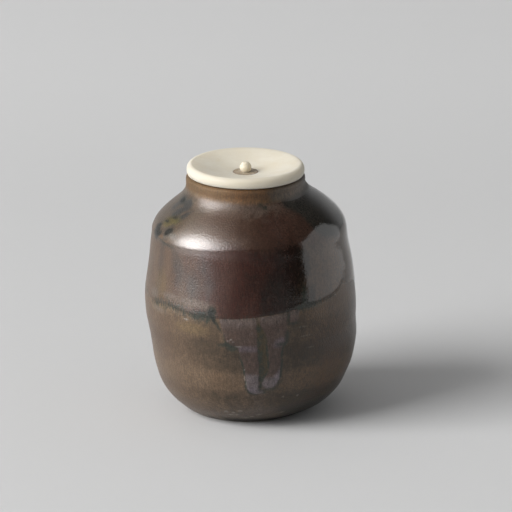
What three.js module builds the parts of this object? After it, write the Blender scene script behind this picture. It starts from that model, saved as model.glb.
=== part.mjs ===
// Small thrown stoneware tea caddy with a loose scooped lid.
// Lengths are in millimetres and +Z is up. The origin is on the ground under the middle of the belly.
import * as THREE from 'three';

// Jar: the thrown body, from its flat foot to the lip of its mouth
const footRadius = 17.0;
const bellyRadius = 32.5;
const bellyHeight = 33.5;
const shoulderRadius = 29.7;
const shoulderHeight = 58.5;
const neckRadius = 18.2;
const neckFootHeight = 71.5;
const mouthHeight = 74.1;
const wall = 2.6;
const floorThickness = 4.2;

// Thrown by hand: the neck stands off the belly's axis, and it meets the shoulder aslant
const neckOffset = 1.75;
const neckFootRise = 0.95;

// Lid: the scooped plate that rests on the lip, and the spigot that drops into the mouth
const lidRadius = 18.0;
const rimHeight = 3.0;
const dishDepth = 2.64;
const spigotDepth = 2.3;
const spigotRounding = 0.4;
const spigotClearance = 0.6;
const seatGap = 0.3;

// Knob and the round plug that it stands in
const plugRadius = 3.9;
const plugGap = 0.3;
const knobRadius = 1.8;
const knobNeckRadius = 1.25;
const pegRadius = 0.8;
const pegGap = 0.3;

// Gilded paper under the spigot
const liningThickness = 0.3;
const leafThickness = 0.15;
const liningMargin = 0.6;

// Fineness of the round surfaces
const roundSegments = 48;
const smallSegments = 28;
const outlineSteps = 34;
const insideSteps = 20;
const lipSteps = 6;
const rimSteps = 26;
const ballSteps = 10;

// Each row of the next three tables is a share of the height and a share of the radius
// between the two named places that the stretch joins, in the order height, radius.
const footToBellyShares = [
  [0.048, 0.22], [0.119, 0.455], [0.239, 0.676], [0.358, 0.791],
  [0.478, 0.874], [0.597, 0.921], [0.746, 0.962], [0.866, 0.984],
];
const bellyToShoulderShares = [[0.14, 0.036], [0.34, 0.214], [0.58, 0.5], [0.82, 0.82]];
const shoulderToNeckShares = [[0.138, 0.085], [0.269, 0.195], [0.5, 0.478], [0.692, 0.774], [0.846, 0.939]];

// Shares of the mouth's height, and of the neck's offset, as the rings wander off the axis
const swayShares = [
  [0, 0.85], [0.054, 0.1], [0.135, -0.17], [0.25, -0.4], [0.32, -0.4], [0.39, 0], [0.49, 0.17],
  [0.62, 0.06], [0.74, 0.31], [0.78, 0.31], [0.82, 0.15], [0.84, 0.15], [0.88, 0.5], [0.91, 1], [1, 1],
];
// Shares of the mouth's height, and of the rise by which the neck's foot leans
const leanShares = [[0, 0], [0.81, 0], [0.93, 1], [1, 0]];

// Rim of the lid in shares of its radius and of the rim's height, from the lower edge to the crest
const rimShares = [[0.988, 0], [1, 0.28], [0.991, 0.66], [0.96, 0.92], [0.925, 1]];
// Dish of the lid in shares of its radius and of the dish's depth below the crest
const dishShares = [[0.885, 0.05], [0.83, 0.14], [0.74, 0.29], [0.62, 0.49], [0.5, 0.69], [0.38, 0.87], [0.28, 0.98]];

// Points between two places, at the given shares of the way up and of the way across
function stretch(from, to, shares) {
  return shares.map(([up, across]) => new THREE.Vector2(
    THREE.MathUtils.lerp(from.x, to.x, across),
    THREE.MathUtils.lerp(from.y, to.y, up),
  ));
}

// Value of a table at a share of the height, eased from row to row
function eased(table, share) {
  const above = table.findIndex(([height]) => height >= share);
  if (above === 0) return table[0][1];
  if (above < 0) return table[table.length - 1][1];
  const [lowShare, lowValue] = table[above - 1];
  const [highShare, highValue] = table[above];
  return THREE.MathUtils.lerp(lowValue, highValue, THREE.MathUtils.smoothstep(share, lowShare, highShare));
}

// Solid turned about the vertical axis, from an outline that runs up its outside
function turned(outline, segments) {
  const geometry = new THREE.LatheGeometry(outline, segments);
  geometry.rotateX(Math.PI / 2);
  return geometry;
}

// Outer wall of the jar, from the edge of the foot to the foot of the neck
function jarWall() {
  const foot = new THREE.Vector2(footRadius, 0);
  const belly = new THREE.Vector2(bellyRadius, bellyHeight);
  const shoulder = new THREE.Vector2(shoulderRadius, shoulderHeight);
  const neckFoot = new THREE.Vector2(neckRadius, neckFootHeight);
  return new THREE.SplineCurve([
    foot,
    ...stretch(foot, belly, footToBellyShares),
    belly,
    ...stretch(belly, shoulder, bellyToShoulderShares),
    shoulder,
    ...stretch(shoulder, neckFoot, shoulderToNeckShares),
    neckFoot,
  ]);
}

// Inside of the wall, a wall's thickness in from the outside, from the neck down to the floor
function jarInside(outerWall) {
  const points = [];
  for (let step = insideSteps; step >= 0; step -= 1) {
    const along = step / insideSteps;
    const tangent = outerWall.getTangent(along);
    const inward = new THREE.Vector2(-tangent.y, tangent.x);
    const point = outerWall.getPoint(along).addScaledVector(inward, wall);
    if (point.y > floorThickness) points.push(point);
  }
  return points;
}

// The wandering of the thrown rings: each moves sideways, and the neck's foot leans
function throwByHand(geometry) {
  const position = geometry.attributes.position;
  for (let i = 0; i < position.count; i += 1) {
    const x = position.getX(i);
    const z = position.getZ(i);
    const share = z / mouthHeight;
    position.setX(i, x - neckOffset * eased(swayShares, share));
    position.setZ(i, z + neckFootRise * eased(leanShares, share) * (x / neckRadius));
  }
}

function makeJar() {
  const outerWall = jarWall();
  const lipRadius = wall / 2;
  const lip = new THREE.EllipseCurve(
    neckRadius - lipRadius, mouthHeight - lipRadius, lipRadius, lipRadius, 0, Math.PI);
  const inside = jarInside(outerWall);
  const outline = [
    new THREE.Vector2(0, 0),
    ...outerWall.getPoints(outlineSteps),
    ...lip.getPoints(lipSteps),
    ...inside,
    new THREE.Vector2(inside[inside.length - 1].x, floorThickness),
    new THREE.Vector2(0, floorThickness),
  ];
  const geometry = turned(outline, roundSegments);
  throwByHand(geometry);
  const glaze = new THREE.MeshStandardMaterial({ color: 0x5a4034, roughness: 0.3, metalness: 0 });
  return new THREE.Mesh(geometry, glaze);
}

// Heights of the lid, from the underside of the plate that rests on the lip
const spigotRadius = neckRadius - wall - spigotClearance;
const plateTop = rimHeight - dishDepth;
const ivory = { color: 0xe0d6ba, roughness: 0.4, metalness: 0 };

function makeLidPlate() {
  const hole = plugRadius + plugGap;
  const rim = new THREE.SplineCurve([
    ...rimShares.map(([across, up]) => new THREE.Vector2(lidRadius * across, rimHeight * up)),
    ...dishShares.map(([across, down]) => new THREE.Vector2(lidRadius * across, rimHeight - dishDepth * down)),
  ]);
  const rounding = new THREE.EllipseCurve(
    spigotRadius - spigotRounding, spigotRounding - spigotDepth, spigotRounding, spigotRounding,
    -Math.PI / 2, 0);
  const outline = [
    new THREE.Vector2(hole, -spigotDepth),
    ...rounding.getPoints(lipSteps / 2),
    new THREE.Vector2(spigotRadius, 0),
    ...rim.getPoints(rimSteps),
    new THREE.Vector2(hole, plateTop),
    new THREE.Vector2(hole, -spigotDepth),
  ];
  return new THREE.Mesh(turned(outline, roundSegments), new THREE.MeshStandardMaterial(ivory));
}

function makeLidPlug() {
  const hole = pegRadius + pegGap;
  const outline = [
    new THREE.Vector2(hole, -spigotDepth),
    new THREE.Vector2(plugRadius, -spigotDepth),
    new THREE.Vector2(plugRadius, plateTop),
    new THREE.Vector2(hole, plateTop),
    new THREE.Vector2(hole, -spigotDepth),
  ];
  const darker = new THREE.MeshStandardMaterial({ color: 0x9a8672, roughness: 0.5, metalness: 0 });
  return new THREE.Mesh(turned(outline, smallSegments), darker);
}

// The ball meets its short neck where its own width has come down to the neck's
function makeKnob() {
  const meeting = Math.acos(knobNeckRadius / knobRadius);
  const ballHeight = plateTop + knobRadius * Math.sin(meeting);
  const ball = new THREE.EllipseCurve(0, ballHeight, knobRadius, knobRadius, -meeting, Math.PI / 2);
  const outline = [
    new THREE.Vector2(0, -spigotDepth),
    new THREE.Vector2(pegRadius, -spigotDepth),
    new THREE.Vector2(pegRadius, plateTop),
    ...ball.getPoints(ballSteps).slice(0, -1),
    new THREE.Vector2(0, ballHeight + knobRadius),
  ];
  return new THREE.Mesh(turned(outline, smallSegments), new THREE.MeshStandardMaterial(ivory));
}

// A round sheet whose upper face is at the given height
function makeSheet(thickness, top, material) {
  const radius = spigotRadius - liningMargin;
  const outline = [
    new THREE.Vector2(0, top - thickness),
    new THREE.Vector2(radius, top - thickness),
    new THREE.Vector2(radius, top),
    new THREE.Vector2(0, top),
  ];
  return new THREE.Mesh(turned(outline, roundSegments), material);
}

function makeLidLining() {
  const paper = new THREE.MeshStandardMaterial({ color: 0xcbb98f, roughness: 0.9, metalness: 0 });
  return makeSheet(liningThickness, -spigotDepth, paper);
}

function makeLidLeaf() {
  const gold = new THREE.MeshStandardMaterial({ color: 0xc9a24a, roughness: 0.35, metalness: 1 });
  return makeSheet(leafThickness, -spigotDepth - liningThickness, gold);
}

function named(name, mesh) {
  mesh.name = name;
  return mesh;
}

const lid = new THREE.Group();
lid.position.set(-neckOffset, 0, mouthHeight + seatGap);
lid.add(
  named('lid_plate', makeLidPlate()),
  named('lid_plug', makeLidPlug()),
  named('knob', makeKnob()),
  named('lid_lining', makeLidLining()),
  named('lid_leaf', makeLidLeaf()),
);

const caddy = new THREE.Group();
caddy.add(named('jar', makeJar()), lid);

export default caddy;
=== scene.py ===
import math

import bmesh
import bpy
import numpy as np
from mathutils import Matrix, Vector


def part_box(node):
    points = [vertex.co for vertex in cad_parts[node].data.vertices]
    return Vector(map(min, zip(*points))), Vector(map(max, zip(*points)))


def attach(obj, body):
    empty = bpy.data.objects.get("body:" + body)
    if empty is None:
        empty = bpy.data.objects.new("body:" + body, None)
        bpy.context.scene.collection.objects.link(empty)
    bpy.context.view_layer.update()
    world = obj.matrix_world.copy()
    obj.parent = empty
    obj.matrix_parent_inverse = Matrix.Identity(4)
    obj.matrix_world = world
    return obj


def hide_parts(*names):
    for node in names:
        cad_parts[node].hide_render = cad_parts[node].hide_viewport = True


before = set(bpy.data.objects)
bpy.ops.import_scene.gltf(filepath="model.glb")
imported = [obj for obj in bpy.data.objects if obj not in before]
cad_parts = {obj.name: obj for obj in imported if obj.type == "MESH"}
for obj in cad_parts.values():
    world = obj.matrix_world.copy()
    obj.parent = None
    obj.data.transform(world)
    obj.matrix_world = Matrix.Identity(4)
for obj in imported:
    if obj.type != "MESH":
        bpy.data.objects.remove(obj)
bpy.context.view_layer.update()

mm = 0.001

# Jar
# A small caddy thrown on the wheel from fine brown stoneware and cut off with a twisted cord.
# Its iron glaze, and the second glaze that ends at the waist and runs down in tongues, were
# melted onto the clay in one firing, so clay and glaze are one piece, which stands free.

jar_low, jar_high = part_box("jar")
mouth_height = jar_high[2]
belly_radius = (jar_high[1] - jar_low[1]) / 2
foot_radius = 17.0 * mm
belly_height = 33.5 * mm
shoulder_radius = 29.7 * mm
shoulder_height = 58.5 * mm
neck_radius = 18.2 * mm
neck_foot_height = 71.5 * mm
neck_offset = 1.75 * mm
neck_foot_rise = 0.95 * mm
wall = 2.6 * mm
floor_thickness = 4.2 * mm

# Shares of the way up and of the way in or out between two named places of the wall
foot_to_belly_shares = (
    (0.048, 0.22), (0.119, 0.455), (0.239, 0.676), (0.358, 0.791),
    (0.478, 0.874), (0.597, 0.921), (0.746, 0.962), (0.866, 0.984),
)
belly_to_shoulder_shares = ((0.14, 0.036), (0.34, 0.214), (0.58, 0.5), (0.82, 0.82))
shoulder_to_neck_shares = ((0.138, 0.085), (0.269, 0.195), (0.5, 0.478), (0.692, 0.774), (0.846, 0.939))
# Shares of the mouth's height, with the share of the neck's offset or of its foot's rise there
sway_shares = (
    (0, 0.85), (0.054, 0.1), (0.135, -0.17), (0.25, -0.4), (0.32, -0.4), (0.39, 0), (0.49, 0.17),
    (0.62, 0.06), (0.74, 0.31), (0.78, 0.31), (0.82, 0.15), (0.84, 0.15), (0.88, 0.5), (0.91, 1), (1, 1),
)
lean_shares = ((0, 0), (0.81, 0), (0.93, 1), (1, 0))

jar_segments = 360
wall_rings = 190
foot_rings = 30
neck_rings = 5
lip_rings = 12
inside_rings = 32
inside_floor_rings = 8
wall_softness = 2.0 * mm
wander_softness = 1.8 * mm
wander_fade = 0.08
same_place = 0.0005 * mm


def stretch(start, end, shares):
    """Points between two places, at the given shares of the way up and of the way across."""
    (x, z), (end_x, end_z) = start, end
    return [(x + (end_x - x) * across, z + (end_z - z) * up) for up, across in shares]


def smooth_line(points, steps):
    """Evenly numbered points and tangents of a smooth curve through the given points."""
    points = np.array([points[0], *points, points[-1]], float)
    # A hair less than the whole way keeps the last point in the last stretch
    along = np.linspace(0, len(points) - 3 - 1e-9, steps)
    first = along.astype(int)
    t = (along - first)[:, None]
    before, start, end, after = (points[first + k] for k in range(4))
    leaving = (end - before) / 2
    arriving = (after - start) / 2
    cubic = 2 * start - 2 * end + leaving + arriving
    square = -3 * start + 3 * end - 2 * leaving - arriving
    place = cubic * t**3 + square * t**2 + leaving * t + start
    slope = 3 * cubic * t**2 + 2 * square * t + leaving
    return place, slope / np.linalg.norm(slope, axis=1, keepdims=True)


def eased(table, share):
    """Value of a table at a share, eased from row to row."""
    shares, values = np.array(table, float).T
    row = np.clip(np.searchsorted(shares, share, side="left"), 1, len(shares) - 1)
    t = np.clip((share - shares[row - 1]) / (shares[row] - shares[row - 1]), 0, 1)
    return values[row - 1] + (values[row] - values[row - 1]) * t * t * (3 - 2 * t)


def between(value, low, high):
    """0 below low, 1 above high, and eased in between."""
    t = np.clip((value - low) / (high - low), 0, 1)
    return t * t * (3 - 2 * t)


def softened(line, width):
    """A line with its small kinks smoothed away over the given width, and its ends kept."""
    along = np.concatenate([[0], np.cumsum(np.linalg.norm(np.diff(line, axis=0), axis=1))])
    even = np.linspace(0, along[-1], len(line))
    line = np.column_stack([np.interp(even, along, line[:, k]) for k in range(2)])
    weights = np.exp(-(((even[:, None] - even[None, :]) / width) ** 2))
    soft = weights @ line / weights.sum(axis=1, keepdims=True)
    from_end = np.minimum(even, even[-1] - even)[:, None]
    return line + (soft - line) * between(from_end, 0, width)


# Outline of the jar from the middle of the foot, up the outside, over the lip and down to the inner floor
foot_edge = (foot_radius, 0)
belly = (belly_radius, belly_height)
shoulder = (shoulder_radius, shoulder_height)
neck_foot = (neck_radius, neck_foot_height)
wall_points = [
    foot_edge, *stretch(foot_edge, belly, foot_to_belly_shares),
    belly, *stretch(belly, shoulder, belly_to_shoulder_shares),
    shoulder, *stretch(shoulder, neck_foot, shoulder_to_neck_shares), neck_foot,
]
outer = softened(smooth_line(wall_points, wall_rings)[0], wall_softness)
lip_radius = wall / 2
lip_height = mouth_height - lip_radius
foot_line = np.column_stack([np.linspace(0, foot_radius, foot_rings, endpoint=False), np.zeros(foot_rings)])
neck_line = np.column_stack([
    np.full(neck_rings, neck_radius),
    np.linspace(neck_foot_height, lip_height, neck_rings + 1, endpoint=False)[1:]])
lip_turn = np.linspace(0, math.pi, lip_rings)
lip_line = np.column_stack([
    neck_radius - lip_radius + lip_radius * np.cos(lip_turn), lip_height + lip_radius * np.sin(lip_turn)])
inner, inner_slope = smooth_line(wall_points, inside_rings)
inner = (inner + wall * np.column_stack([-inner_slope[:, 1], inner_slope[:, 0]]))[::-1]
inner = inner[inner[:, 1] > floor_thickness]
floor_line = np.column_stack([
    np.linspace(inner[-1, 0], 0, inside_floor_rings), np.full(inside_floor_rings, floor_thickness)])
outline = np.vstack([foot_line, outer, neck_line, lip_line, inner, floor_line])
outline_slope = np.gradient(outline, axis=0)
outline_slope /= np.linalg.norm(outline_slope, axis=1, keepdims=True)
ring_count = len(outline)
outside_rings = foot_rings + wall_rings + neck_rings + lip_rings // 2

# Each place on the jar has an angle, 0 at the front and growing to the right, and a height in millimetres
turn = np.arange(jar_segments) * 2 * math.pi / jar_segments
degrees = np.degrees((turn + math.pi) % (2 * math.pi) - math.pi)[None, :]
height = outline[:, 1:2] / mm
girth = np.maximum(outline[:, 0:1], foot_radius) / mm
outside = np.arange(ring_count)[:, None] < outside_rings


def across_from(angle):
    """Millimetres round the jar from the given angle."""
    away = (degrees - angle + 180) % 360 - 180
    return np.radians(away) * girth


def spot(angle, middle, half_width, half_height, lean=0.0):
    """Depth in millimetres inside an oval mark, and less than 0 outside it."""
    up = height - middle
    reach = np.hypot((across_from(angle) - lean * up) / half_width, up / half_height)
    return (1 - reach) * min(half_width, half_height)


def patch(corners):
    """Depth in millimetres inside a shape given by its corners, each an angle and a height."""
    corners = np.array([*corners, corners[0]], float)
    middle = corners[:, 0].mean()
    belly_girth = belly_radius / mm
    across = np.radians((degrees - middle + 180) % 360 - 180) * belly_girth
    corners[:, 0] = np.radians(corners[:, 0] - middle) * belly_girth
    nearest = np.full((ring_count, jar_segments), np.inf)
    within = np.zeros((ring_count, jar_segments), bool)
    for (start_x, start_z), (end_x, end_z) in zip(corners[:-1], corners[1:]):
        run, rise = end_x - start_x, end_z - start_z
        along = ((across - start_x) * run + (height - start_z) * rise) / (run**2 + rise**2)
        along = np.clip(along, 0, 1)
        away = np.hypot(across - start_x - along * run, height - start_z - along * rise)
        nearest = np.minimum(nearest, away)
        crossed = (start_z > height) != (end_z > height)
        within ^= crossed & (across < start_x + (height - start_z) * run / (rise or 1))
    return np.where(within, nearest, -nearest)


def union(*fields):
    return np.maximum.reduce(fields)


def spots(*rows):
    return union(*(spot(*row) for row in rows))


def patches(*shapes):
    return union(*(patch(shape) for shape in shapes))


def ridge(value, middle, half_width):
    """1 at a middle value, and falling away to both sides of it."""
    return np.exp(-(((value - middle) / half_width) ** 2))


# Where the second glaze ends, as angle and height all the way round
glaze_end = (
    (-180, 37), (-158, 39.5), (-138, 36.5), (-118, 34.5), (-104, 38), (-84, 38.5), (-66, 37.6),
    (-51, 38.5), (-41, 37.9), (-34, 37.5), (-28, 37.3), (-20, 37.2), (-10, 37.4), (0, 37.9), (10, 38.6),
    (18, 39.1), (25, 39.7), (31, 40.4), (40, 40.5), (49, 41.2), (56, 42.2), (62, 44.2), (75, 43),
    (90, 40), (101, 39), (118, 35), (133, 37.5), (152, 40), (168, 38), (180, 37))
straight_end = height - eased(glaze_end, degrees)

# The runs of the second glaze, each drawn round by angle and height. The two at the front end in
# rounded tips, and a narrow gap of bare lower glaze stands between them.
left_tip_end = (
    (-3.8, 14.8), (-2.0, 13.4), (0.6, 12.9), (4.5, 13.0), (7.0, 13.5), (6.4, 14.3), (3.5, 14.8), (3.3, 18.0))
right_tip_end = (
    (5.4, 18.4), (4.5, 16.6), (5.4, 15.4), (7.8, 14.8), (10.8, 14.8), (12.8, 15.3), (15.2, 18.1))
gap_left_side = ((3.1, 22.0), (3.4, 28.0), (3.3, 34.3))
gap_right_side = ((5.3, 35.9), (7.6, 33.4), (8.9, 31.0), (8.4, 26.0), (8.5, 20.6))
left_run_shape = (
    (-17.5, 37.8), (-16.2, 35.6), (-14.6, 31.0), (-13.3, 29.2), (-7.6, 28.3), (-7.2, 26.7), (-5.3, 21.2),
    *left_tip_end, *gap_left_side, (3.2, 38.0))
right_run_shape = (
    (5.2, 38.2), *gap_right_side, *right_tip_end, (15.4, 21.8), (16.0, 26.3), (17.2, 28.2), (19.0, 29.6),
    (19.6, 31.7), (20.2, 35.3), (20.2, 39.1))
run_gap_shape = (
    (3.3, 36.8), *gap_right_side, *right_tip_end[:2], (4.6, 15.2), *left_tip_end[-2:], *gap_left_side)
small_run_shape = ((21.1, 39.6), (21.2, 37.4), (22.2, 36.1), (25.4, 35.7), (27.1, 37.0), (27.6, 39.9))
side_run_shape = ((111, 38), (112, 30), (113.5, 24), (116, 21.5), (119, 23), (120.5, 29), (123, 37))
back_run_shape = (
    (-129, 37), (-126, 27), (-124.5, 19), (-121.5, 15.6), (-117, 16.2), (-115.5, 22), (-114.5, 28),
    (-111, 36))
runs = patches(left_run_shape, right_run_shape, small_run_shape, side_run_shape, back_run_shape)
second_glaze = union(straight_end, runs)
left_tip_shape = ((-5.2, 19.9), *left_tip_end, (3.2, 19.5))
right_tip_shape = (*right_tip_end, (15.4, 20.9), (11.0, 18.8))
pale_tips = union(
    patches(left_tip_shape, right_tip_shape), spots((117, 24.5, 1.5, 2.6), (-120, 19.5, 1.7, 3.2)))

# Black pools of glaze on the shoulder, and the blots, and a thin dark line of painted shade under its break
# on the left
pool_shape = (
    (36, 69.8), (35, 69), (36, 68.1), (39, 67.0), (42, 66.2), (44, 65.1), (45, 63.4), (46.5, 61.4),
    (52, 59.5), (64, 58.5), (80, 60), (92, 62), (108, 66), (112, 70))
pool = union(patch(pool_shape), spots((-168, 66, 10, 5), (142, 60, 6, 8)))
left_blot_shape = (
    (-78, 59.2), (-75.5, 60.9), (-72.5, 60.8), (-71, 59.5), (-69.0, 58.7), (-67.5, 59.6), (-66.5, 58.6),
    (-69.5, 57.2), (-71.5, 56.0), (-74.5, 56.5), (-77, 57.4))
small_blot_shape = ((-63, 59.3), (-61.5, 60.7), (-58, 61.3), (-56.0, 60.5), (-58.5, 59.4), (-61.5, 58.7))
break_shade_shape = ((-68, 57.0), (-62, 56.4), (-56, 56.2), (-52, 56.2), (-56, 56.5), (-62, 56.8))
blots_and_break_shade = union(patches(left_blot_shape, small_blot_shape, break_shade_shape), spots(
    (-74, 68.3, 1.3, 0.7), (-69, 62.2, 0.9, 0.3, 0.8), (-63, 64.0, 0.8, 0.3, 0.8)))

# The dark green band of gathered glaze along the end: its strength by angle, and its width
band_share = (
    (-180, 0.3), (-150, 1), (-120, 0.4), (-95, 0.8), (-72, 0), (-62, 0.45), (-52, 0.8), (-45, 0.7),
    (-38, 0.85), (-28, 1), (-20, 1), (-16, 0), (24, 0), (29, 0.7), (36, 0.5), (48, 0.25), (58, 0),
    (90, 0.8), (130, 0.3), (165, 0.8), (180, 0.3))
band_half = 1.9
band_rise = 0.1
band_margin = 0.2
green_band = eased(band_share, degrees) * band_half - np.abs(straight_end - band_rise) - band_margin

# How pale the lower glaze lies at each height
lower_pale_share = (
    (0, 0.45), (5, 0.45), (8.5, 0.55), (11.5, 0.35), (15, 0.8), (18.5, 0.9), (22, 0.35), (27, 0.1),
    (31, 0.5), (35, 0.45), (38, 0.8), (41, 0.8))

# Where the glaze is glossy and where it has a satin sheen, as angles, as heights and as depths
glossy_from = (14, 32)
glossy_until = (110, 150)
glossy_past_end = (-1.2, 0.6)
glossy_past_pool = (-1.5, 1.5)
satin_from = (-56, -43)
satin_until = (-36, 14)
satin_low = (54, 57)
satin_high = (66, 71)
satin_far_left = 0.15
gloss_weight = between(degrees, *glossy_from) * (1 - between(degrees, *glossy_until))
gloss_weight = union(gloss_weight * between(straight_end, *glossy_past_end), between(pool, *glossy_past_pool))
satin_round = satin_far_left + (1 - satin_far_left) * between(degrees, *satin_from)
satin_weight = between(height, *satin_low) * (1 - between(height, *satin_high)) * satin_round
satin_weight = satin_weight * (1 - between(degrees, *satin_until)) * (1 - gloss_weight)

# Bare clay on the foot, below a glaze line that wavers a little, and inside below the neck
glaze_foot_height = 0.45
glaze_foot_waves = ((0.10, 3, 1.0), (0.05, 7, 0.0))
glaze_foot_edge = (-0.25, 0.05)
foot_line_rise = 0.35
foot_line_half = 0.3
inside_glaze_end = 69
inside_glaze_fade = 4
glaze_foot = glaze_foot_height + sum(
    depth * np.sin(turn * lobes + start)[None, :] for depth, lobes, start in glaze_foot_waves)
clay_outside = 1 - between(height - glaze_foot, *glaze_foot_edge)
clay_inside = between(inside_glaze_end - height, 0, inside_glaze_fade)
foot_line = ridge(height, glaze_foot + foot_line_rise, foot_line_half)

# Every mark of the glaze, most as a depth in millimetres inside it
marks = {
    "second_glaze": second_glaze,
    "above_end": straight_end,
    "runs": runs,
    "run_gap": patch(run_gap_shape),
    "lower_pale": eased(lower_pale_share, height),
    "neck_height": height + neck_foot_rise / mm * np.sin(turn)[None, :],
    "green_band": green_band,
    "pool": pool,
    "blots_and_break_shade": blots_and_break_shade,
    "pale_tips": pale_tips,
    "slate_marks": spots(
        (-73, 68.2, 2.6, 1.1, 0.4), (-60, 67.8, 2.2, 1.7), (-65.6, 65.7, 1.9, 1.3, 0.5),
        (-55.0, 65.3, 1.2, 1.6, 0.9), (-68, 64.6, 1.4, 0.9), (-77, 66.2, 1.6, 1.2),
        (-58, 63.4, 0.9, 1.2, 0.6), (168, 58, 4, 3)),
    "slate_clouds": spots(
        (-45.5, 50, 2.2, 5.0, -0.3), (-62, 52, 0.8, 6.0), (-35, 46, 2.4, 3.4, -0.2), (-24, 47, 1.6, 4.0),
        (-27, 52, 1.4, 3.0), (168, 48, 5, 7), (-140, 54, 5, 7), (-95, 50, 3, 6)),
    "ash_marks": spots((-54.5, 59.3, 2.0, 0.9), (-60.5, 58.2, 1.0, 0.5)),
    "olive_marks": spots((-66.5, 62.4, 2.3, 1.4, 0.6), (-61, 63.2, 1.6, 0.8, 0.6)),
    "rusty_marks": spots((-65.5, 57.7, 1.5, 0.5), (-60.5, 56.9, 1.6, 0.3)),
    "ochre_marks": spots(
        (-60, 44, 2.6, 4.0), (-60, 36.6, 4, 1.4), (-34, 33, 5, 1.6), (90, 48, 6, 9), (-112, 47, 6, 8)),
    "halo": spots(
        (-33, 41.0, 6.0, 1.3), (-26, 40.6, 2.2, 1.1), (-50, 41.2, 3.5, 1.0), (-66, 40.4, 2.6, 1.6),
        (-60, 36.0, 3.6, 0.9)),
    "lilac_mark": spots(
        (15.5, 29.8, 1.6, 1.5, 0.5), (13.4, 18.6, 0.8, 2.2, 0.3), (-2.4, 28.0, 3.2, 0.8),
        (-1, 14.4, 1.6, 1.0), (117, 26, 1, 2)),
    "dark_marks": spots(
        (-21.5, 39.2, 1.3, 1.8), (-26, 38.3, 2.4, 0.5), (-24.5, 37.6, 1.6, 0.4),
        (-18.8, 35.6, 0.4, 2.2, -0.67), (-31.0, 37.0, 1.3, 0.7), (-14.6, 29.0, 1.9, 0.7, 0.5),
        (-11, 28.0, 1.6, 0.8), (21.0, 37.8, 0.4, 1.8), (23.6, 35.6, 1.5, 0.35), (20.2, 31.8, 0.6, 1.6),
        (17, 29.4, 1.6, 0.5, 0.6), (19.4, 31.4, 0.5, 0.5), (4.4, 34.6, 0.6, 0.9), (5.6, 32.0, 0.5, 0.6),
        (4.4, 29.8, 0.4, 1.0), (5.2, 26.8, 0.4, 0.6), (4.1, 24.8, 0.5, 1.2), (4.8, 21.6, 0.5, 1.2),
        (3.9, 18.4, 0.5, 0.9), (4.0, 15.6, 0.4, 1.0), (8.8, 14.4, 2.2, 0.3), (14.6, 16.2, 0.3, 1.2, 0.8),
        (33, 40.6, 2.6, 0.9), (31, 43.5, 0.9, 3.4), (13.6, 69.4, 0.7, 0.45), (17.2, 68.6, 0.6, 0.4),
        (29, 40.4, 1.7, 0.8, 0.6), (124, 61, 2.0, 3.4), (-150, 62, 2.6, 1.8)),
    "dark_core": spots((-22.5, 38.9, 1.3, 1.1), (-28, 38.5, 1.5, 0.4), (-20.5, 37.0, 0.5, 1.3, -0.5)),
    # Painted glints on ridges, on raised bubbles and along the left tip's edge, and a few pale specks
    "painted_glints_and_specks": spots(
        (-4.6, 17.6, 0.16, 1.3, -0.2), (-37.2, 35.6, 0.9, 0.22, -0.9), (-12.6, 30.4, 0.3, 0.22),
        (-10.8, 31.0, 0.25, 0.2), (-9.8, 30.3, 0.4, 0.16), (-5.0, 21.2, 0.25, 0.25),
        (-7.0, 28.7, 0.8, 0.16), (-150, 26, 0.8, 0.3)),
    "worn_specks": spots(
        (-17.4, 5.5, 0.7, 0.4), (-12.5, 5.2, 0.5, 0.3), (-7.4, 6.2, 0.7, 0.35), (-3.1, 2.8, 0.8, 0.3),
        (-14.5, 4.2, 0.9, 0.3), (-9.8, 4.4, 0.6, 0.3), (5.5, 4.6, 0.7, 0.3), (1.0, 3.6, 0.5, 0.25),
        (22.3, 4.9, 0.6, 0.35), (18.6, 11.4, 0.3, 0.3), (28.4, 11.2, 0.4, 0.3), (-160, 6, 0.8, 0.4),
        (100, 9, 0.6, 0.4)),
    "scratches": spots((31, 31, 1.4, 0.2, 1.2), (29, 34, 1.2, 0.2, 0.9), (34, 27, 0.9, 0.2, 1.0)),
    "gloss_weight": gloss_weight,
    "satin_weight": satin_weight,
    "clay_weight": np.where(outside, clay_outside, clay_inside),
    "foot_line_weight": np.where(outside, foot_line, 0),
}

# Relief in millimetres. Waves are in radians to the millimetre, and a pair says between which
# heights, angles or depths a form comes in or dies away, but for the middle of the cord's arcs. The
# inset keeps what stands out of the wall within the part's size.
throw_depth = 0.022
throw_waves = 0.9
throw_sway = 0.9
throw_from = (3, 9)
throw_calms = (38, 41)
throw_calm = 0.8
throw_until = (62, 68)
uneven_depth = 0.10
uneven_lobes = 3
uneven_twist = 0.06
uneven_waves = 0.09
uneven_from = (2, 12)
groove_depth = 0.10
groove_height = 28.5
groove_sway = 0.9
groove_start = 0.7
groove_half = 1.5
break_height = 58.6
break_drop = 1.3
break_drops = (0, 50)
break_depth = 0.12
break_half = 0.8
break_until = (0, 20)
glaze_step = 0.06
glaze_step_edge = (-0.5, 0.6)
glaze_roll = 0.03
glaze_roll_at = 0.8
glaze_roll_half = 0.7
run_swell = 0.12
run_swell_edge = (-0.2, 1.0)
run_swells_below = 30
run_swell_fade = 6
tip_swell = 0.12
tip_swell_edge = (-0.6, 1.0)
relief_inset = 0.2
outer_from = (0.2, 3.0)
outer_until = (70, 72.5)
inner_depth = 0.18
inner_waves = 0.95
inner_from = (6, 12)
inner_until = (60, 68)
cut_middle = (9, -3)
cut_depth = 0.16
cut_waves = 3.1
cut_edge = (0.3, 1.6)

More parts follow.
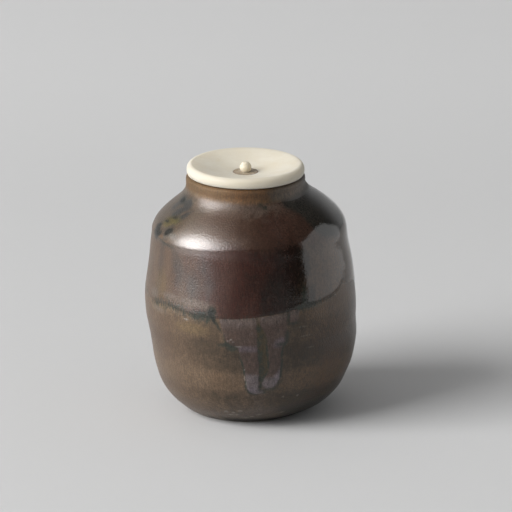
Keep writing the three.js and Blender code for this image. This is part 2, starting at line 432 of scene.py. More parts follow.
throwing = throw_depth * np.sin(height * throw_waves + throw_sway * np.sin(turn)[None, :])
throwing = throwing * between(height, *throw_from) * (1 - throw_calm * between(height, *throw_calms))
throwing = throwing * (1 - between(height, *throw_until))
unevenness = uneven_depth * np.sin(uneven_lobes * turn[None, :] + height * uneven_twist)
unevenness = unevenness * np.sin(height * uneven_waves + 1) * between(height, *uneven_from)
groove_line = groove_height + groove_sway * np.sin(turn + groove_start)[None, :]
waist_groove = -groove_depth * ridge(height, groove_line, groove_half)
break_line = break_height - break_drop * between(-degrees, *break_drops)
shoulder_break = break_depth * ridge(height, break_line, break_half) * (1 - between(degrees, *break_until))
glaze_edge = glaze_step * between(second_glaze, *glaze_step_edge)
glaze_edge = glaze_edge + glaze_roll * ridge(second_glaze, glaze_roll_at, glaze_roll_half)
run_relief = run_swell * between(runs, *run_swell_edge)
run_relief = run_relief * between(run_swells_below - height, 0, run_swell_fade)
tip_relief = tip_swell * between(pale_tips, *tip_swell_edge)
outer_relief = sum((throwing, unevenness, waist_groove, shoulder_break, glaze_edge, run_relief, tip_relief))
outer_relief = (outer_relief - relief_inset) * between(height, *outer_from)
outer_relief = outer_relief * (1 - between(height, *outer_until))
inner_relief = inner_depth * np.sin(height * inner_waves + turn[None, :])
inner_relief = inner_relief * between(height, *inner_from) * (1 - between(height, *inner_until))
foot_reach = outline[:, 0:1] / mm
cut_arcs = np.hypot(foot_reach * np.sin(turn) - cut_middle[0], foot_reach * np.cos(turn) - cut_middle[1])
cord_cut = -cut_depth * (0.5 + 0.5 * np.sin(cut_arcs * cut_waves)) ** 2
cord_cut = cord_cut * between(foot_radius / mm - foot_reach, *cut_edge)
on_foot = np.arange(ring_count)[:, None] < foot_rings
relief = np.where(on_foot, cord_cut, np.where(outside, outer_relief, inner_relief)) * mm


def wandering(table, share):
    """Value of a table with its kinks smoothed away over a little height, and its ends kept."""
    spread = wander_softness / mouth_height * between(np.minimum(share, 1 - share), 0, wander_fade)
    steps = np.linspace(-2, 2, 9)
    weights = np.exp(-(steps**2))
    values = (eased(table, share + spread * step) for step in steps)
    return sum(weight * value for weight, value in zip(weights, values)) / weights.sum()


def placed_on_jar(radius, level):
    """Points of the jar's rings, with the wandering and the leaning of the thrown body."""
    share = level / mouth_height
    x = radius * np.sin(turn)
    y = -radius * np.cos(turn)
    lean = neck_foot_rise * wandering(lean_shares, share) * x / neck_radius
    return np.stack([x - neck_offset * wandering(sway_shares, share), y, level + lean], axis=-1)


def turned_mesh(name, grid, closed=False, fields=None):
    """Object made of rings of points, each joined to the next, with named numbers at its points."""
    rings, segments = grid.shape[:2]
    last = rings if closed else rings - 1
    ring = np.arange(last)[:, None]
    place = np.arange(segments)[None, :]
    after = (place + 1) % segments
    above = (ring + 1) % rings
    low, high = ring * segments, above * segments
    faces = np.stack([low + place, low + after, high + after, high + place], axis=-1)
    mesh = bpy.data.meshes.new(name)
    mesh.from_pydata(grid.reshape(-1, 3).tolist(), [], faces.reshape(-1, 4).tolist())
    for field, values in (fields or {}).items():
        attribute = mesh.attributes.new(field, "FLOAT", "POINT")
        at_points = np.broadcast_to(values, (rings, segments)).astype(np.float32)
        attribute.data.foreach_set("value", at_points.ravel())
    shape = bmesh.new()
    shape.from_mesh(mesh)
    bmesh.ops.remove_doubles(shape, verts=shape.verts, dist=same_place)
    bmesh.ops.recalc_face_normals(shape, faces=shape.faces)
    shape.to_mesh(mesh)
    shape.free()
    mesh.shade_smooth()
    thing = bpy.data.objects.new(name, mesh)
    bpy.context.scene.collection.objects.link(thing)
    return thing


outward = np.column_stack([outline_slope[:, 1], -outline_slope[:, 0]])
jar_radius = np.maximum(outline[:, 0:1] + outward[:, 0:1] * relief, 0)
jar_level = outline[:, 1:2] + outward[:, 1:2] * relief
jar_grid = placed_on_jar(jar_radius, jar_level)
jar = turned_mesh("stoneware_jar", jar_grid, fields=marks)


class NodeTree:
    """The nodes of a material or of the world, and the links between them."""

    def __init__(self, tree):
        self.nodes = tree.nodes
        self.links = tree.links

    def put(self, value, socket):
        """Links a value that varies, or sets one that is the same all over."""
        if isinstance(value, bpy.types.NodeSocket):
            self.links.new(value, socket)
        elif socket.type == "RGBA":
            socket.default_value = (*value, 1)
        else:
            socket.default_value = value

    def node(self, kind, inputs=(), **settings):
        made = self.nodes.new(kind)
        for key, value in settings.items():
            setattr(made, key, value)
        for key, value in dict(inputs).items():
            self.put(value, made.inputs[key])
        return made

    def maths(self, operation, first, second=0.0):
        return self.node("ShaderNodeMath", {0: first, 1: second}, operation=operation).outputs[0]


class Finish(NodeTree):
    """A material built up in layers, each a colour laid over the last where its mask is 1."""

    def __init__(self, name):
        self.material = bpy.data.materials.new(name)
        self.material.use_nodes = True
        super().__init__(self.material.node_tree)
        self.shader = self.nodes["Principled BSDF"]
        self.place = self.node("ShaderNodeTexCoord").outputs["Object"]
        self.colour = None

    def noise(self, size, detail=4.0, roughness=0.55, scales=None):
        """Noise from 0 to 1 with cells of about the given size, drawn out where a scale is below 1."""
        place = self.place
        if scales:
            place = self.node("ShaderNodeVectorMath", {0: place, 1: scales}, operation="MULTIPLY").outputs[0]
        values = {"Vector": place, "Scale": 1 / size, "Detail": detail, "Roughness": roughness}
        return self.node("ShaderNodeTexNoise", values).outputs["Fac"]

    def field(self, name):
        """The numbers of that name at the points of the mesh."""
        return self.node("ShaderNodeAttribute", attribute_name=name).outputs["Fac"]

    def ramp(self, value, low, high, start=0.0, end=1.0):
        """A value that goes from start to end as the given one goes from low to high, eased."""
        values = {"Value": value, "From Min": low, "From Max": high, "To Min": start, "To Max": end}
        return self.node("ShaderNodeMapRange", values, interpolation_type="SMOOTHSTEP").outputs["Result"]

    def distance_from(self, middle):
        """How far each place on the piece is from the given one."""
        values = {0: self.place, 1: middle}
        return self.node("ShaderNodeVectorMath", values, operation="DISTANCE").outputs["Value"]

    def angle_round(self):
        """The angle round the vertical axis in radians, 0 at the front."""
        place = self.node("ShaderNodeSeparateXYZ", {0: self.place}).outputs
        return self.maths("ARCTAN2", place["X"], self.maths("MULTIPLY", place["Y"], -1.0))

    def round_about(self, noise, sway):
        """The angle round the object as a share from 0 to 1, 0.5 at the front, swayed by noise."""
        share = self.maths("ADD", self.maths("DIVIDE", self.angle_round(), 2 * math.pi), 0.5)
        return self.maths("ADD", share, self.ramp(noise, 0.25, 0.75, -sway / 360, sway / 360))

    def colours_round(self, share, colours):
        """Colours round the object from the back, each with its angle, that blend into one another."""
        made = self.node("ShaderNodeValToRGB", {"Fac": share})
        stops = made.color_ramp.elements
        for stop in stops:
            stop.color = (*colours[0][1], 1)
        for angle, colour in colours[1:]:
            stops.new((angle + 180) / 360).color = (*colour, 1)
        return made.outputs["Color"]

    def mark(self, name, low, high, ragged, size):
        """Mask of a mark from its depth in millimetres, with its edge made ragged by noise."""
        noise = self.maths("SUBTRACT", self.noise(size, 3.0), 0.5)
        depth = self.maths("ADD", self.field(name), self.maths("MULTIPLY", noise, 2 * ragged))
        return self.ramp(depth, low, high)

    def where_all(self, mask, *others):
        """A mask that is 1 where all the given ones are."""
        for other in others:
            mask = self.maths("MULTIPLY", mask, other)
        return mask

    def lay(self, colour, mask=None, strength=1.0):
        """Lays a colour over what is there, where the mask is 1."""
        if self.colour is None:
            self.colour = colour
            return
        if strength != 1.0:
            mask = self.maths("MULTIPLY", mask, strength)
        mix = self.node("ShaderNodeMix", data_type="RGBA")
        self.put(mask, mix.inputs["Factor"])
        self.put(self.colour, mix.inputs["A"])
        self.put(colour, mix.inputs["B"])
        self.colour = mix.outputs["Result"]

    def lay_marks(self, rows):
        for name, colour, *edge, strength in rows:
            self.lay(colour, self.mark(name, *edge), strength)

    def shade(self, factor):
        """Makes what is there darker or paler by a factor that varies."""
        values = {0: self.colour, "Scale": factor}
        self.colour = self.node("ShaderNodeVectorMath", values, operation="SCALE").outputs[0]

    def bump(self, height, depth, under=None):
        """Small relief of the given depth in metres."""
        values = {"Height": height, "Strength": 1.0, "Distance": depth}
        if under:
            values["Normal"] = under
        return self.node("ShaderNodeBump", values).outputs["Normal"]

    def finish(self, roughness, normal=None, **uniform):
        self.put(self.colour, self.shader.inputs["Base Color"])
        self.put(roughness, self.shader.inputs["Roughness"])
        if normal:
            self.put(normal, self.shader.inputs["Normal"])
        for key, value in uniform.items():
            self.shader.inputs[key.replace("_", " ")].default_value = value
        return self.material


# Colours of the glazes round the jar, each with the angle where it stands. The first, at the back,
# is also the last.
pale_lower = (
    (-180, (0.105, 0.065, 0.038)), (-80, (0.112, 0.074, 0.046)), (-35, (0.114, 0.075, 0.045)),
    (-15, (0.100, 0.063, 0.036)), (5, (0.086, 0.060, 0.043)), (25, (0.080, 0.049, 0.026)),
    (50, (0.068, 0.036, 0.014)), (110, (0.090, 0.054, 0.028)))
dark_lower = (
    (-180, (0.065, 0.040, 0.023)), (-80, (0.084, 0.051, 0.031)), (-40, (0.078, 0.049, 0.029)),
    (-22, (0.046, 0.030, 0.017)), (0, (0.028, 0.018, 0.010)), (25, (0.025, 0.016, 0.008)),
    (50, (0.034, 0.017, 0.007)), (110, (0.050, 0.029, 0.013)))
upper_wall = (
    (-180, (0.085, 0.050, 0.028)), (-80, (0.092, 0.060, 0.038)), (-55, (0.084, 0.051, 0.031)),
    (-42, (0.064, 0.035, 0.021)), (-33, (0.057, 0.029, 0.020)), (-24, (0.056, 0.023, 0.016)),
    (-12, (0.038, 0.014, 0.009)), (-2, (0.034, 0.010, 0.006)), (12, (0.015, 0.006, 0.004)),
    (24, (0.013, 0.008, 0.006)), (33, (0.018, 0.012, 0.008)), (40, (0.056, 0.035, 0.022)),
    (55, (0.070, 0.038, 0.018)), (80, (0.055, 0.028, 0.012)), (120, (0.070, 0.040, 0.020)))
shoulder_round = (
    (-180, (0.075, 0.045, 0.028)), (-75, (0.080, 0.060, 0.042)), (-50, (0.085, 0.060, 0.040)),
    (-35, (0.100, 0.066, 0.047)), (-15, (0.070, 0.041, 0.028)), (0, (0.042, 0.021, 0.013)),
    (14, (0.038, 0.018, 0.012)), (27, (0.048, 0.025, 0.018)), (42, (0.044, 0.025, 0.018)),
    (120, (0.045, 0.026, 0.016)))
neck_round = (
    (-180, (0.100, 0.055, 0.025)), (-60, (0.105, 0.062, 0.026)), (-25, (0.120, 0.066, 0.028)),
    (-5, (0.105, 0.048, 0.014)), (12, (0.074, 0.036, 0.011)), (26, (0.062, 0.043, 0.026)),
    (42, (0.105, 0.072, 0.047)), (58, (0.105, 0.078, 0.055)), (75, (0.072, 0.058, 0.044)),
    (110, (0.070, 0.045, 0.022)))

# Colours of single layers and marks
slate = (0.032, 0.034, 0.034)
ochre = (0.150, 0.100, 0.035)
olive = (0.105, 0.080, 0.020)
rust_red = (0.180, 0.100, 0.048)
ash = (0.170, 0.170, 0.160)
# The darkest glaze colours, also used for painted shade low on the right side and along the foot's front edge
pool_and_shade_black = (0.010, 0.010, 0.008)
core_and_shade_black = (0.004, 0.005, 0.003)
pool_dark = (0.026, 0.025, 0.021)
green_black = (0.016, 0.020, 0.014)
gap_olive = (0.034, 0.024, 0.009)
# Painted shade low on the right side, near the foot
painted_foot_shade = (0.027, 0.015, 0.005)
pale_halo = (0.125, 0.098, 0.078)
milky = (0.104, 0.079, 0.069)
mauve = (0.056, 0.033, 0.026)
tip_grey = (0.120, 0.100, 0.105)
lilac = (0.125, 0.105, 0.130)
# Pale colour of the painted glints and specks
glint_white = (0.380, 0.360, 0.330)
umber = (0.085, 0.057, 0.038)
fleck_brown = (0.070, 0.042, 0.030)
clay_brown = (0.120, 0.078, 0.050)
foot_line_tan = (0.130, 0.108, 0.084)
worn_tan = (0.200, 0.175, 0.145)

# Noises in the glaze, each with the size of its cells, its detail and its roughness, and some with
# scales along the axes that draw it out down the wall. Most of a noise lies within the span.
cloud_noise = (8 * mm, 5.0, 0.6)
mottle_noise = (1.6 * mm, 5.0, 0.65)
speckle_noise = (0.42 * mm, 3.0, 0.6)
sway_noise = (5 * mm, 4.0, 0.6, (1, 1, 0.4))
streak_noise = (2.2 * mm, 5.0, 0.6, (1, 1, 0.22))
thread_noise = (0.45 * mm, 2.0, 0.5, (1, 1, 0.16))
fleck_noise = (0.5 * mm, 2.0, 0.5, (1, 1, 0.4))
pit_noise = (0.7 * mm, 3.0, 0.6, (1, 1, 0.6))
break_noise = (2.4 * mm, 3.0)
teeth_noise = (0.55 * mm, 3.0, 0.6, (1, 1, 0.3))
peel_noise = (0.8 * mm, 2.0)
pimple_noise = (0.5 * mm, 2.0)
grain_noise = (0.3 * mm, 3.0)
noise_span = (0.3, 0.7)
colour_sway = 9
mottle_sway = 0.22
cloud_sway = 0.15
cloud_rise = 1.5 * mm
teeth_reach = (-1.5, 0.7)

# Edges of marks: the depths in millimetres where a mark starts and where it is full, how ragged it
# is, in millimetres too, and the size of the noise that does it. The neck's is in heights.
upper_edge = (-0.1, 0.15, 0.2, 0.9 * mm)
above_edge = (-0.15, 0.2, 0.12, 0.8 * mm)
neck_edge = (69.0, 70.8, 0.6, 1.5 * mm)
pool_core_edge = (-0.9, 0.9, 0.6, 1.0 * mm)
gap_edge = (-0.3, 0.4, 0.3, 1.0 * mm)
run_edge = (-0.12, 0.2, 0.12, 0.8 * mm)
run_rim_edge = (-0.75, -0.15, 0.3, 0.9 * mm)
run_inner_edge = (0.45, 0.05, 0.3, 0.9 * mm)
tip_edge = (-0.7, 0.8, 0.4, 0.8 * mm)
lilac_edge = (-0.9, 0.6, 0.6, 0.8 * mm)
gloss_edge = (0, 1, 0.35, 1.6 * mm)

# Marks on the upper glaze and marks over both glazes, in the order in which they are laid, each with
# its colour, the four numbers of its edge and its strength
first_marks = (("ochre_marks", ochre, -1.4, 0.9, 0.9, 1.6 * mm, 0.28),)
upper_marks = (
    ("halo", pale_halo, -0.8, 0.8, 0.6, 1.2 * mm, 0.7),
    ("slate_clouds", slate, -2.2, 1.6, 1.5, 1.8 * mm, 0.5),
    ("slate_marks", slate, -0.9, 0.7, 0.9, 1.3 * mm, 0.85),
    ("olive_marks", olive, -1.0, 0.5, 0.6, 1.0 * mm, 0.75),
    ("rusty_marks", rust_red, -0.4, 0.3, 0.3, 0.8 * mm, 0.5),
    ("ash_marks", ash, -0.5, 0.5, 0.4, 0.8 * mm, 0.35),
    # The blots, and the painted shade under the shoulder's break
    ("blots_and_break_shade", green_black, -1.5, 0.2, 0.7, 1.0 * mm, 0.45),
    ("blots_and_break_shade", core_and_shade_black, -0.35, 0.2, 0.45, 0.6 * mm, 0.95),
    ("pool", pool_dark, -1.5, 1.3, 0.8, 1.6 * mm, 0.92))
last_marks = (
    ("dark_marks", green_black, -0.5, 0.35, 0.7, 0.7 * mm, 0.85),
    ("dark_core", core_and_shade_black, -0.4, 0.4, 0.5, 0.6 * mm, 0.95),
    # Painted glints and pale specks
    ("painted_glints_and_specks", glint_white, -0.2, 0.15, 0.1, 0.4 * mm, 0.45),
    ("worn_specks", worn_tan, -0.25, 0.2, 0.2, 0.5 * mm, 0.6),
    ("scratches", worn_tan, -0.3, 0.2, 0.35, 0.5 * mm, 0.25))

# Where layers start and where they are full: as shares of the way round, 0.5 at the front, as levels
# above the ground and, in millimetres, as heights on the neck, above the second glaze's end and as
# depths in the green band
right_from = (0.53, 0.60)
right_until = (0.88, 0.76)
# Where the painted contact shade along the foot's front edge starts
front_edge_from = (0.40, 0.46)
pale_front_from = (0.36, 0.44)
pale_front_until = (0.6, 0.56)
pitted_from = (0.44, 0.54)
pitted_until = (0.9, 0.76)
smoother_from = (0.42, 0.52)
# Levels of the painted shade low on the right and of the painted contact shade along the foot's front edge
right_foot_shade_levels = (14 * mm, 11 * mm)
right_edge_shade_levels = (10 * mm, 6 * mm)
front_edge_levels = (3.2 * mm, 1.2 * mm)
shoulder_levels = (56.5 * mm, 60.5 * mm)
pale_top_levels = (65.5 * mm, 68.5 * mm)
pool_core_levels = (64 * mm, 61.5 * mm)
run_rim_levels = (33 * mm, 29 * mm)
right_neck_levels = (64.5 * mm, 68 * mm)
pale_top_until = (71, 69)
rust_heights = (69.3, 71.2)
milk_heights = (-4.5, -0.3)
broken_milk_heights = (-3.0, -0.8)
band_edge = (-1.4, 0.5)
band_core = (0.0, 0.9)

# Roughness on the left and on the right of the front, where the glaze is glossy, and what the rusty
# neck, its right side, the edge of the foot and bare clay add; and depths of the small relief
left_roughness = 0.37
right_roughness = 0.31
gloss_roughness = 0.09
rust_roughness = 0.30
right_neck_roughness = 0.16
edge_roughness = 0.3
clay_roughness = 0.5
peel_depth = 0.028 * mm
pimple_depth = 0.09 * mm
grain_depth = 0.05 * mm
grain_in_glaze = 0.12


class Glaze(Finish):
    """The iron glaze and the bare clay, with the masks that several layers share."""

    def __init__(self):
        super().__init__("iron_glaze")
        self.clouds = self.noise(*cloud_noise)
        self.mottle = self.noise(*mottle_noise)
        self.share = self.round_about(self.noise(*sway_noise), colour_sway)
        self.level = self.node("ShaderNodeSeparateXYZ", {0: self.place}).outputs["Z"]
        self.upper = self.mark("second_glaze", *upper_edge)
        self.above = self.mark("above_end", *above_edge)
        self.clay = self.field("clay_weight")
        until_right = self.ramp(self.share, *right_until)
        self.right_side = self.where_all(self.ramp(self.share, *right_from), until_right)
        # Band along the foot's front edge that gets painted contact shade and a rougher glaze
        low = self.ramp(self.level, *front_edge_levels)
        self.shaded_front_edge = self.where_all(low, self.ramp(self.share, *front_edge_from), until_right)

    def swayed(self, value, noise, reach):
        """A value made more or less by noise."""
        return self.maths("ADD", value, self.ramp(noise, *noise_span, -reach, reach))

    def lay_lower_glaze(self):
        """Paler where it lies thin over the throwing marks, with painted shade low on the right and along the
        foot's front edge.
        """
        paler = self.swayed(self.field("lower_pale"), self.mottle, mottle_sway)
        paler = self.swayed(paler, self.clouds, cloud_sway)
        self.lay(self.colours_round(self.share, dark_lower))
        self.lay(self.colours_round(self.share, pale_lower), self.ramp(paler, 0, 1))
        # Painted shade low on the right side, darkest at the bottom, and painted contact shade along the
        # front edge
        low = self.ramp(self.level, *right_foot_shade_levels)
        lowest = self.ramp(self.level, *right_edge_shade_levels)
        self.lay(painted_foot_shade, self.where_all(low, self.right_side), 0.85)
        self.lay(pool_and_shade_black, self.where_all(lowest, self.right_side), 0.7)
        self.lay(core_and_shade_black, self.shaded_front_edge, 0.9)

    def lay_upper_glaze(self):
        """Over the wall, the shoulder and the neck, with its clouds, its blots and its pool."""
        rising = self.swayed(self.level, self.clouds, cloud_rise)
        self.lay(self.colours_round(self.share, upper_wall), self.above)
        self.lay(self.colours_round(self.share, shoulder_round), self.ramp(rising, *shoulder_levels))
        self.lay(self.colours_round(self.share, neck_round), self.mark("neck_height", *neck_edge))
        self.lay_marks(first_marks)
        front = self.ramp(self.share, *pale_front_from)
        front = self.where_all(front, self.ramp(self.share, *pale_front_until))
        below_neck = self.ramp(self.field("neck_height"), *pale_top_until)
        top = self.where_all(self.ramp(rising, *pale_top_levels), below_neck)
        self.lay(pale_halo, self.where_all(front, top), 0.4)
        self.lay_marks(upper_marks)
        pool_core = self.mark("pool", *pool_core_edge)
        self.lay(pool_and_shade_black, self.where_all(pool_core, self.ramp(self.level, *pool_core_levels)), 0.8)

    def lay_runs(self):
        """Milky just under the upper glaze's end, then mauve, and thick and pale at their tips."""
        below = self.maths("SUBTRACT", 1.0, self.above)
        above_end = self.field("above_end")
        run = self.where_all(self.mark("runs", *run_edge), below)
        self.lay(gap_olive, self.where_all(self.mark("run_gap", *gap_edge), below), 0.85)
        self.lay(mauve, run, 0.85)
        self.lay(milky, self.where_all(run, self.ramp(above_end, *milk_heights)), 0.8)
        self.lay(milky, self.where_all(run, self.ramp(self.mottle, 0.5, 0.75)), 0.35)
        broken_milk = self.ramp(self.mottle, 0.5, 0.7)
        broken_milk = self.where_all(broken_milk, self.ramp(above_end, *broken_milk_heights))
        self.lay(tip_grey, self.where_all(run, broken_milk), 0.5)
        self.lay(tip_grey, self.where_all(run, self.mark("pale_tips", *tip_edge)), 0.8)
        self.lay(lilac, self.where_all(run, self.mark("lilac_mark", *lilac_edge)), 0.38)

    def lay_gathered_glaze(self):
        """Dark green round the runs, along the second glaze's end and in blots, and the last marks."""
        run_rim = self.where_all(self.mark("runs", *run_rim_edge), self.mark("runs", *run_inner_edge))
        broken = self.ramp(self.noise(*break_noise), 0.36, 0.58)
        low = self.ramp(self.level, *run_rim_levels)
        self.lay(green_black, self.where_all(run_rim, low, broken), 0.95)
        teeth = self.ramp(self.noise(*teeth_noise), 0.35, 0.65, *teeth_reach)
        gathered = self.maths("ADD", self.field("green_band"), teeth)
        self.lay(green_black, self.ramp(gathered, *band_edge), 0.5)
        self.lay(green_black, self.ramp(gathered, *band_core), 0.8)
        self.lay_marks(last_marks)

    def shade_finely(self):
        """Mottling and threads everywhere, flecks and streaks in the upper glaze, pits on the dark side."""
        self.shade(self.ramp(self.noise(*speckle_noise), 0.25, 0.75, 0.72, 1.28))
        self.shade(self.ramp(self.noise(*thread_noise), *noise_span, 0.84, 1.16))
        flecks = self.ramp(self.noise(*fleck_noise), 0.5, 0.7)
        self.lay(fleck_brown, self.where_all(flecks, self.upper), 0.22)
        streaks = self.where_all(self.noise(*streak_noise), self.upper)
        self.shade(self.ramp(streaks, 0.3, 0.75, 1.06, 0.86))
        dark_side = self.where_all(self.ramp(self.share, *pitted_from), self.ramp(self.share, *pitted_until))
        pits = self.ramp(self.noise(*pit_noise), 0.5, 0.66)
        self.lay(pool_and_shade_black, self.where_all(dark_side, pits), 0.4)

    def lay_clay(self):
        """Bare clay inside and on the foot, with a pale line where the glaze stops."""
        self.lay(foot_line_tan, self.field("foot_line_weight"), 0.25)
        self.lay(clay_brown, self.clay)
        self.lay(umber, self.where_all(self.clay, self.ramp(self.mottle, 0.5, 0.8)), 0.5)

    def small_relief(self):
        """Normals of the glaze, with pimples where it isn't glossy, and of the coarser clay over them."""
        peel = self.bump(self.noise(*peel_noise), peel_depth)
        dull = self.maths("SUBTRACT", 1.0, self.field("gloss_weight"))
        peel = self.bump(self.where_all(self.noise(*pimple_noise), dull), pimple_depth, peel)
        coarse = self.ramp(self.clay, 0, 1, grain_in_glaze, 1.0)
        grain = self.bump(self.where_all(self.noise(*grain_noise), coarse), grain_depth, peel)
        return peel, grain

    def roughness(self):
        """Low where the glaze is glossy, and higher on the neck, at the foot's edge and on clay."""
        duller = self.ramp(self.share, *smoother_from, left_roughness, right_roughness)
        glossy = self.mark("gloss_weight", *gloss_edge)
        values = {"Value": glossy, "To Min": duller, "To Max": gloss_roughness}
        total = self.node("ShaderNodeMapRange", values).outputs["Result"]
        rust = self.ramp(self.field("neck_height"), *rust_heights)
        right_neck = self.where_all(self.ramp(self.level, *right_neck_levels), self.right_side)
        for mask, added in (
                (rust, rust_roughness), (right_neck, right_neck_roughness), (self.shaded_front_edge, edge_roughness),
                (self.clay, clay_roughness)):
            total = self.maths("ADD", total, self.maths("MULTIPLY", mask, added))
        return total


def jar_finish():
    """The glaze in its layers, with a coat where it has a satin sheen."""
    glaze = Glaze()
    glaze.lay_lower_glaze()
    glaze.lay_upper_glaze()
    glaze.lay_runs()
    glaze.lay_gathered_glaze()
    glaze.shade_finely()
    glaze.lay_clay()
    peel, grain = glaze.small_relief()
    glazed = glaze.maths("SUBTRACT", 1.0, glaze.clay)
    glaze.put(glaze.where_all(glaze.field("satin_weight"), glazed), glaze.shader.inputs["Coat Weight"])
    glaze.put(peel, glaze.shader.inputs["Coat Normal"])
    return glaze.finish(glaze.roughness(), grain, IOR=1.48, Coat_Roughness=0.32, Coat_IOR=1.7)


jar.data.materials.append(jar_finish())
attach(jar, "jar")
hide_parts("jar")

# Lid plate
# A round plate turned from ivory, scooped out on top with a rounded rim. It rests on the lip
# by the underside of its rim, and a low spigot drops loosely into the mouth.

plate_low, plate_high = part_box("lid_plate")
lid_axis = (plate_low[0] + plate_high[0]) / 2
lid_radius = (plate_high[0] - plate_low[0]) / 2
spigot_depth = 2.3 * mm
rim_height = plate_high[2] - plate_low[2] - spigot_depth
dish_depth = 2.64 * mm
spigot_radius = 15.0 * mm
spigot_rounding = 0.4 * mm
plug_radius = 3.9 * mm
plug_joint = 0.06 * mm
plate_underside = plate_low[2] + spigot_depth
plate_top = plate_underside + rim_height - dish_depth

rim_shares = ((0.988, 0), (1, 0.28), (0.991, 0.66), (0.96, 0.92), (0.925, 1))
dish_shares = (
    (0.885, 0.05), (0.83, 0.14), (0.74, 0.29), (0.62, 0.49), (0.5, 0.69), (0.38, 0.87), (0.28, 0.98),
    (0.25, 1))
lid_segments = 256
rim_rings = 70
flat_rings = 8
short_rings = 3


def straight(start, end, steps):
    """Points along a straight stretch, without its end."""
    return np.linspace(start, end, steps, endpoint=False)


def turned_about_lid(line):
    """Rings about the lid's own axis."""
    round_lid = np.arange(lid_segments) * 2 * math.pi / lid_segments
    radius = line[:, 0:1] * np.ones(lid_segments)
    level = np.broadcast_to(line[:, 1:2], radius.shape)
    return np.stack([lid_axis + radius * np.sin(round_lid), -radius * np.cos(round_lid), level], axis=-1)


def quarter(middle, radius, start_turn, steps):
    """Points of a quarter round, without its end."""
    turned = start_turn + np.linspace(0, math.pi / 2, steps, endpoint=False)
    return np.column_stack([middle[0] + radius * np.cos(turned), middle[1] + radius * np.sin(turned)])


rim_top = plate_underside + rim_height
rim_points = [(lid_radius * across, plate_underside + rim_height * up) for across, up in rim_shares]
rim_points += [(lid_radius * across, rim_top - dish_depth * down) for across, down in dish_shares]
plug_hole = plug_radius + plug_joint
plate_bottom = plate_low[2]
spigot_corner = (spigot_radius - spigot_rounding, plate_bottom + spigot_rounding)
plate_line = np.vstack([
    straight((plug_hole, plate_bottom), (spigot_corner[0], plate_bottom), flat_rings),
    quarter(spigot_corner, spigot_rounding, -math.pi / 2, flat_rings),
    straight((spigot_radius, spigot_corner[1]), (spigot_radius, plate_underside), flat_rings),
    straight((spigot_radius, plate_underside), rim_points[0], flat_rings),
    smooth_line(rim_points, rim_rings)[0],
    straight(rim_points[-1], (plug_hole, plate_top), flat_rings)[1:],
    straight((plug_hole, plate_top), (plug_hole, plate_bottom), flat_rings),
])
lid_plate = turned_mesh("lid_plate_ivory", turned_about_lid(plate_line), closed=True)

cream = (0.730, 0.675, 0.560)
warm_cream = (0.690, 0.612, 0.465)
pale_cream = (0.790, 0.750, 0.645)
grain_tan = (0.560, 0.470, 0.320)
# Colour of the painted shade on the rim
rim_shade = (0.600, 0.550, 0.455)
ivory_cloud_noise = (7 * mm, 4.0)
ivory_grain_noise = (1.3 * mm, 4.0, 0.6, (0.35, 1, 1))
turning_noise = (0.5 * mm, 2.0)
turning_depth = 0.008 * mm
ivory_glow_depth = 3.5 * mm
rim_crest = lid_radius * rim_shares[-1][0]
# Where the painted shade on the rim starts and where it is full
rim_shade_from = rim_crest - 1.5 * mm
rim_shade_to = rim_crest + 1.0 * mm


def ivory_finish(name, base, deeper, paler):
    """Polished ivory: cream, a little cloudy, with faint grain, fine turning marks and painted shade on the
    rim.
    """
    ivory = Finish(name)
    clouds = ivory.noise(*ivory_cloud_noise)
    grain = ivory.noise(*ivory_grain_noise)
    ivory.lay(base)
    ivory.lay(deeper, ivory.ramp(clouds, 0.45, 0.7), 0.5)
    ivory.lay(paler, ivory.ramp(clouds, 0.5, 0.3), 0.5)
    ivory.lay(grain_tan, ivory.ramp(grain, 0.58, 0.75), 0.16)
    from_middle = ivory.distance_from((lid_axis, 0, plate_top))
    # Painted shade over the rim, which faces the light; too far off to touch the knob
    ivory.lay(rim_shade, ivory.ramp(from_middle, rim_shade_from, rim_shade_to), 0.7)
    turning = ivory.bump(ivory.noise(*turning_noise), turning_depth)
    roughness = ivory.ramp(clouds, *noise_span, 0.45, 0.55)
    return ivory.finish(
        roughness, turning, IOR=1.54, Specular_IOR_Level=0.2, Subsurface_Weight=0.9,
        Subsurface_Scale=ivory_glow_depth, Subsurface_Radius=(1.0, 0.97, 0.92))


lid_plate.data.materials.append(ivory_finish("lid_ivory", cream, warm_cream, pale_cream))
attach(lid_plate, "lid")
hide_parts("lid_plate")

# Lid plug
# The darker round plug that fills the hole in the middle of the plate. It is fitted flush and
# glued, and old dirt has gathered in its joint.

plug_low, plug_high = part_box("lid_plug")
plug_bottom = plug_low[2]
plug_top = plug_high[2]
peg_hole = 0.86 * mm
plug_dish = 0.10 * mm
plug_rounding = 0.12 * mm
plug_side_top = (plug_radius, plug_top - plug_rounding)
plug_face_edge = (plug_radius - plug_rounding, plug_top)
peg_hole_top = (peg_hole, plug_top - plug_dish)
plug_line = np.vstack([
    straight((peg_hole, plug_bottom), (plug_radius, plug_bottom), flat_rings),
    straight((plug_radius, plug_bottom), plug_side_top, flat_rings),
    straight(plug_side_top, plug_face_edge, short_rings),
    straight(plug_face_edge, peg_hole_top, 2 * flat_rings),
    straight(peg_hole_top, (peg_hole, plug_bottom), flat_rings),
])
lid_plug = turned_mesh("lid_plug_ivory", turned_about_lid(plug_line), closed=True)

plug_tan = (0.430, 0.350, 0.250)
plug_brown = (0.170, 0.110, 0.065)
plug_grey = (0.480, 0.430, 0.350)
plug_noise = (1.2 * mm, 5.0, 0.6)
plug_grain_depth = 0.03 * mm
joint_dirt_from = plug_radius - 0.7 * mm
knob_dirt_and_shade_from = 1.7 * mm
knob_dirt_and_shade_to = 1.2 * mm


